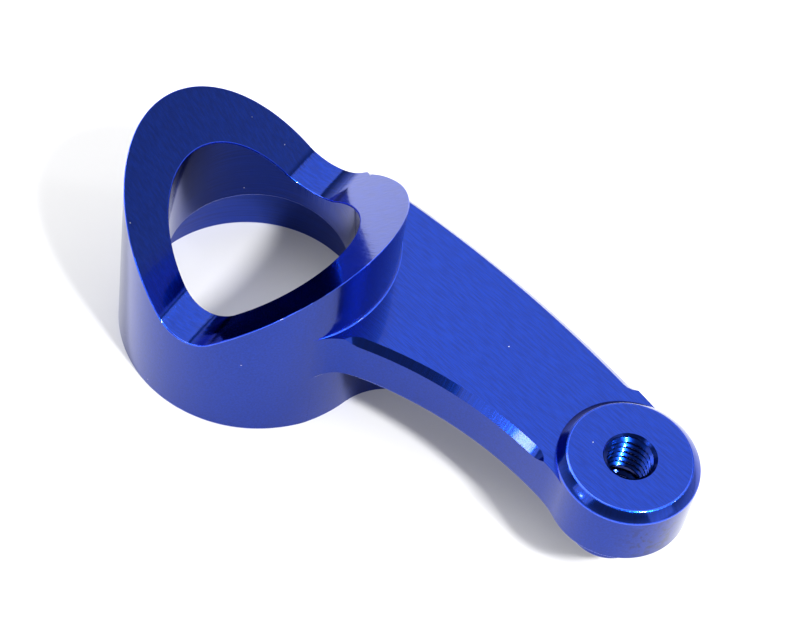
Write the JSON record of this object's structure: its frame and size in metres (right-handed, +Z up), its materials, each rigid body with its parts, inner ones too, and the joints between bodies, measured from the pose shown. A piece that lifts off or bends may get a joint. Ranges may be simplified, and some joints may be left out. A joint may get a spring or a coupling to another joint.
{
  "type": "swing arm with v seat",
  "caption": "Anodised aluminium swing arm: a ring with a stepped bore and a V-shaped seat, and a curved arm that ends in a threaded boss.",
  "frame": {"origin": "middle of the overall length, in the upright plane through the ring's axis and the hole's axis, on the plane that the ring stands on", "axes": "+X from the ring towards the threaded boss, +Y towards the full side of the curved arm, +Z up along the ring's axis towards the V seat"},
  "size_m": [0.0628, 0.0272, 0.0232],
  "materials": {
    "blue_anodised": "bright blue anodised over a fine machined surface"
  },
  "bodies": {
    "root": {"swing_arm": "blue_anodised"}
  },
  "joints": []
}
